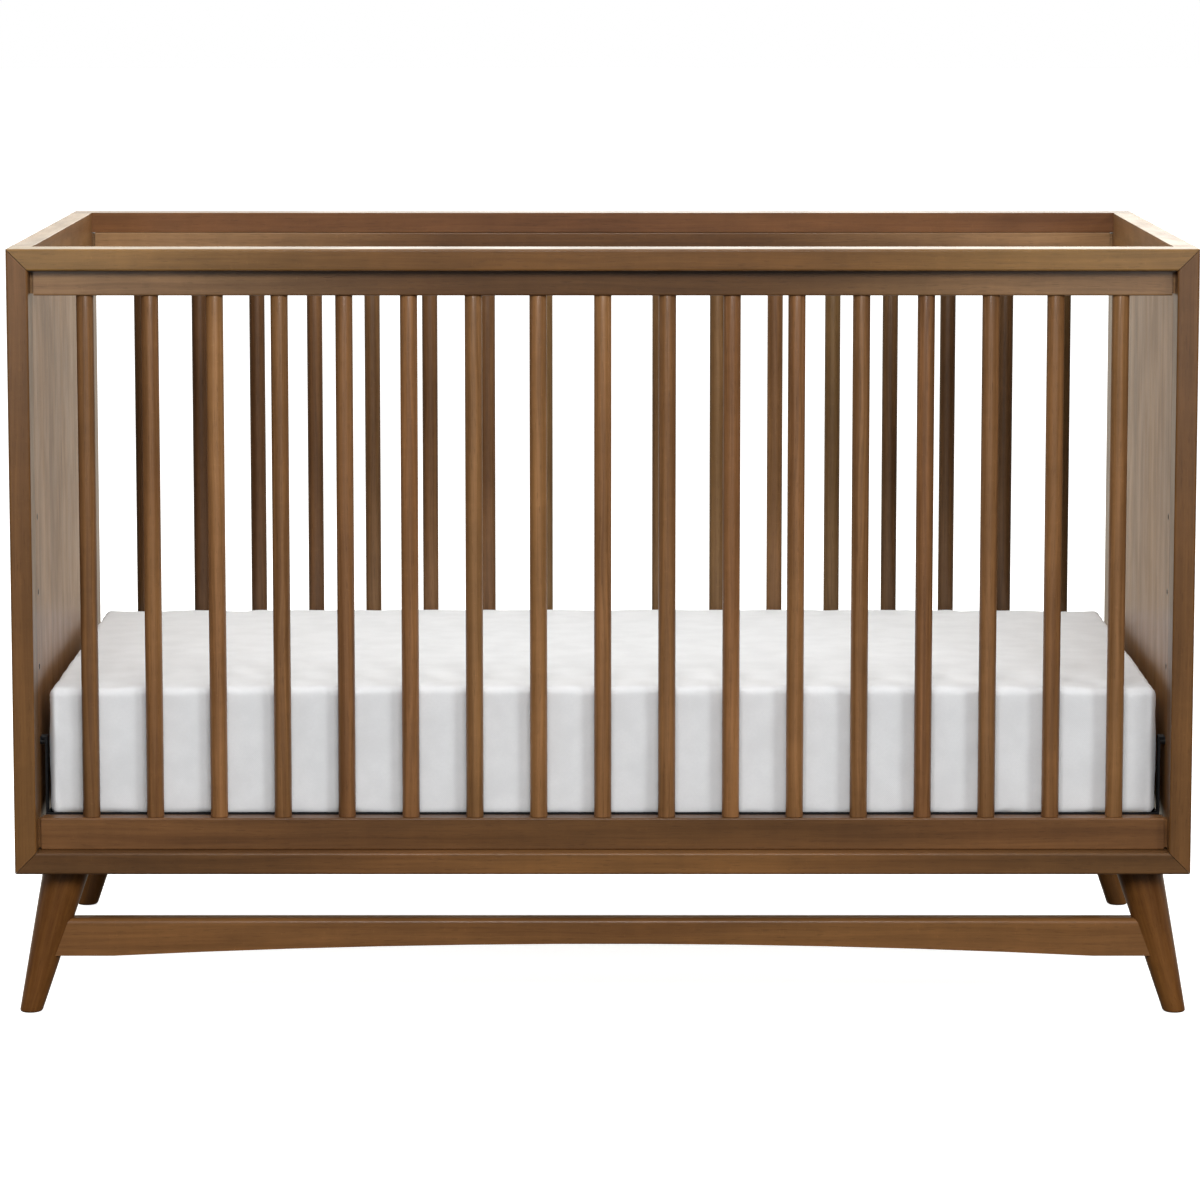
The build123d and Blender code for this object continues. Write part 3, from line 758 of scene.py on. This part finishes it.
blown = blow_up(cover, most_move)
room_low = np.array(mattress_low) + np.array([end_room, side_room, 0.0])
room_high = np.array(mattress_high) - np.array([end_room, side_room, -crown_room])
blown = np.clip(blown, room_low, room_high)
cover.data.vertices.foreach_set("co", blown.reshape(-1))
cover.data.update()
finer = cover.modifiers.new("finer_skin", "SUBSURF")
finer.levels = finer.render_levels = 1
apply_all(cover)
cover.data.shade_smooth()
skin = points_of(cover.data)
print("mattress skin:", len(cover.data.polygons), "faces")
print("from", [round(float(x), 4) for x in skin.min(0)], "to", [round(float(x), 4) for x in skin.max(0)])

# %% [markdown]
# The cover is white knitted polyester. Up close it has fine ribs about two millimetres apart.
# They are rows of small bumps in the plane of each face, chosen by which way the face looks, so
# no unwrapping is needed. A faint larger noise keeps it from looking like plaster.

# %% Mattress cover
rib_pitch = 0.0024


def knit_cover(name):
    """White knit: bumps sin(x) sin(y) in the plane that the face looks out of."""
    material, tree, shader = start_material(name)
    coordinates = add(tree, "ShaderNodeTexCoord").outputs
    axes = split(tree, coordinates["Object"])
    looks = split(tree, coordinates["Normal"])
    step = 2 * math.pi / rib_pitch
    waves = {
        axis: sums(tree, "SINE", sums(tree, "MULTIPLY", axes[axis], step)) for axis in "XYZ"
    }
    rows = None
    for first, second, face in (("X", "Y", "Z"), ("Y", "Z", "X"), ("X", "Z", "Y")):
        bumps = sums(tree, "MULTIPLY", waves[first], waves[second])
        facing = sums(tree, "POWER", sums(tree, "ABSOLUTE", looks[face]), 2.0)
        part = sums(tree, "MULTIPLY", bumps, facing)
        rows = part if rows is None else sums(tree, "ADD", rows, part)
    soft = speckle(tree, coordinates["Object"], 26.0, 3.0)
    lint = speckle(tree, coordinates["Object"], 420.0, 2.0)
    dull, bright, grey = colour(229, 231, 233), colour(236, 238, 240), colour(222, 224, 226)
    tint = blended(tree, remap(tree, soft, 0.3, 0.7), dull, bright)
    tint = blended(tree, remap(tree, lint, 0.2, 0.8, 0.0, 0.25), tint, grey)
    feed(tree, shader.inputs["Base Color"], tint)
    shader.inputs["Roughness"].default_value = 0.9
    shader.inputs["Specular IOR Level"].default_value = 0.2
    shader.inputs["Sheen Weight"].default_value = 0.15
    shader.inputs["Sheen Roughness"].default_value = 0.5
    height = sums(tree, "MULTIPLY_ADD", rows, 0.5, sums(tree, "MULTIPLY", soft, 0.8))
    raise_skin(tree, shader, height, 0.25, 0.0005)
    return material


cover.data.materials.clear()
cover.data.materials.append(knit_cover("white_knit"))
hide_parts("mattress")
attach(cover, "mattress")
print("mattress rides on the body called mattress")

# %% [markdown]
# The floor is a wide plain disc and the backdrop a large plain dome, both white. They glow by
# themselves, bright enough that no shadow shows on them, and are seen by the camera only, so
# they throw no light on the crib. A real white sweep could be modelled instead, but then its
# light would be hard to keep apart from the lamps'.

# %% Floor and backdrop
def plain_surface(name, shade, glow):
    """A dull grey from 0, black, to 1, white, that also glows by itself."""
    material, tree, shader = start_material(name)
    shader.inputs["Base Color"].default_value = (shade, shade, shade, 1.0)
    shader.inputs["Roughness"].default_value = 1.0
    shader.inputs["Specular IOR Level"].default_value = 0.0
    shader.inputs["Emission Color"].default_value = (1.0, 1.0, 1.0, 1.0)
    shader.inputs["Emission Strength"].default_value = glow
    return material


def seen_by_camera_only(piece):
    """Keeps a piece from lighting others, from reflections and from casting shadows."""
    piece.visible_diffuse = False
    piece.visible_glossy = False
    piece.visible_transmission = False
    piece.visible_shadow = False


stage_radius = 40.0
stage_sides = 96
around = np.linspace(0.0, 2 * math.pi, stage_sides, endpoint=False)
rim = stage_radius * np.stack([np.cos(around), np.sin(around), 0 * around], axis=-1)
floor_mesh = bpy.data.meshes.new("studio_floor")
floor_mesh.from_pydata(rim.tolist(), [], [list(range(stage_sides))])
floor = bpy.data.objects.new("studio_floor", floor_mesh)
floor.location.z = low.z
floor_mesh.materials.append(plain_surface("pale_floor", 0.88, 0.85))

# The dome's columns go round the other way, so its faces look in. It starts below the floor.
rise = np.linspace(-0.05, math.pi / 2 - 0.02, 24)[:, None]
back = around[::-1]
dome_points = stage_radius * np.stack(
    [np.cos(rise) * np.cos(back), np.cos(rise) * np.sin(back), np.sin(rise) + 0.0 * back],
    axis=-1,
)
dome = closed_tube("studio_backdrop", dome_points)
dome.data.materials.append(plain_surface("pale_backdrop", 0.0, 1.0))
bpy.context.scene.collection.objects.link(floor)
for piece in (floor, dome):
    seen_by_camera_only(piece)
print("floor is at", round(floor.location.z, 4))

# %% [markdown]
# The surrounding light is a soft gradient by direction: dim at the sides, brighter above, and
# brightest low down behind, as it is in front of a white sweep. Dark sides give round pieces
# their shape, and the bright strip behind makes the top faces shine towards the camera.

# %% Surrounding light
world = bpy.data.worlds.new("studio_air")
bpy.context.scene.world = world
world.use_nodes = True
tree = world.node_tree
direction = split(tree, add(tree, "ShaderNodeTexCoord").outputs["Generated"])
sides = remap(tree, sums(tree, "ABSOLUTE", direction["X"]), 0.3, 0.9, 0.22, 0.05)
sides = sums(tree, "MULTIPLY", sides, remap(tree, direction["Z"], -0.6, 0.0, 0.35, 1.0))
above = remap(tree, direction["Z"], 0.1, 0.9, 0.0, 0.40)
behind = remap(tree, direction["Y"], 0.3, 0.95)
over_horizon = remap(tree, direction["Z"], -0.02, 0.05)
low_sky = sums(tree, "MULTIPLY", over_horizon, remap(tree, direction["Z"], 0.3, 0.7, 1.7, 0.0))
under_horizon = sums(tree, "SUBTRACT", 1.0, over_horizon)
far_floor = remap(tree, direction["Z"], -0.30, -0.08, 0.15, 0.75)
far_floor = sums(tree, "MULTIPLY", under_horizon, far_floor)
glow = sums(tree, "MULTIPLY", behind, sums(tree, "ADD", low_sky, far_floor))
strength = sums(tree, "ADD", sums(tree, "ADD", sides, above), glow)
feed(tree, tree.nodes["Background"].inputs["Strength"], strength)
# The air behind is a little creamy, and the floor behind is warmer, from the wood on it.
air_tint = blended(tree, behind, (1.0, 1.0, 1.0, 1.0), (1.0, 0.985, 0.88, 1.0))
warmth = sums(tree, "MULTIPLY", behind, under_horizon)
feed(tree, tree.nodes["Background"].inputs["Color"],
     blended(tree, warmth, air_tint, (1.0, 0.92, 0.78, 1.0)))
print("the surrounding light is brightest low down behind the crib")

# %% [markdown]
# The lamps are wide soft panels: one high in front, one overhead, one behind so that the back
# isn't lost, and one beyond each end for the panels there. Two low cards in front show only
# as gloss, so they draw bright lines on the round edges and light nothing else. A wide sun
# from the right lays the spindles' soft shadows on the mattress.

# %% Lamps
def panel_lamp(name, place, aim, size, power):
    """A soft rectangular lamp at a place, turned to look at a point. power is in watts."""
    data = bpy.data.lights.new(name, "AREA")
    data.shape, data.size, data.size_y, data.energy = "RECTANGLE", size[0], size[1], power
    lamp = bpy.data.objects.new(name, data)
    lamp.location = place
    lamp.rotation_euler = (Vector(aim) - Vector(place)).to_track_quat("-Z", "Y").to_euler()
    bpy.context.scene.collection.objects.link(lamp)
    return lamp


panel_lamp("front_lamp", (0.0, -3.6, 1.95), (0.0, 0.0, 0.45), size=(1.3, 0.9), power=66.0)
for hand, side_x in (("left", -1.0), ("right", 1.0)):
    card_place, card_aim = (1.6 * side_x, -5.4, 0.70), (0.5 * side_x, -0.4, 0.80)
    card = panel_lamp(f"{hand}_card", card_place, card_aim, size=(1.2, 1.1), power=16.0)
    card.visible_diffuse = False
    end_place, end_aim = (4.2 * side_x, 0.1, 1.0), (0.7 * side_x, 0.0, 0.55)
    panel_lamp(f"{hand}_end_lamp", end_place, end_aim, size=(1.8, 1.2), power=26.0)
panel_lamp("top_lamp", (0.0, -0.4, 3.4), (0.0, 0.0, 0.4), size=(3.4, 2.2), power=46.0)
panel_lamp("back_lamp", (0.6, 4.6, 2.4), (0.0, 0.0, 0.5), size=(2.6, 1.6), power=26.0)

sun_way = Vector((-0.50, 0.80, -0.33))
sun_data = bpy.data.lights.new("right_sun", "SUN")
sun_data.energy = 0.65
sun_data.angle = math.radians(14.0)
sun = bpy.data.objects.new("right_sun", sun_data)
sun.rotation_euler = sun_way.to_track_quat("-Z", "Y").to_euler()
bpy.context.scene.collection.objects.link(sun)
bpy.context.scene.view_settings.view_transform = "Standard"
bpy.context.scene.view_settings.look = "None"
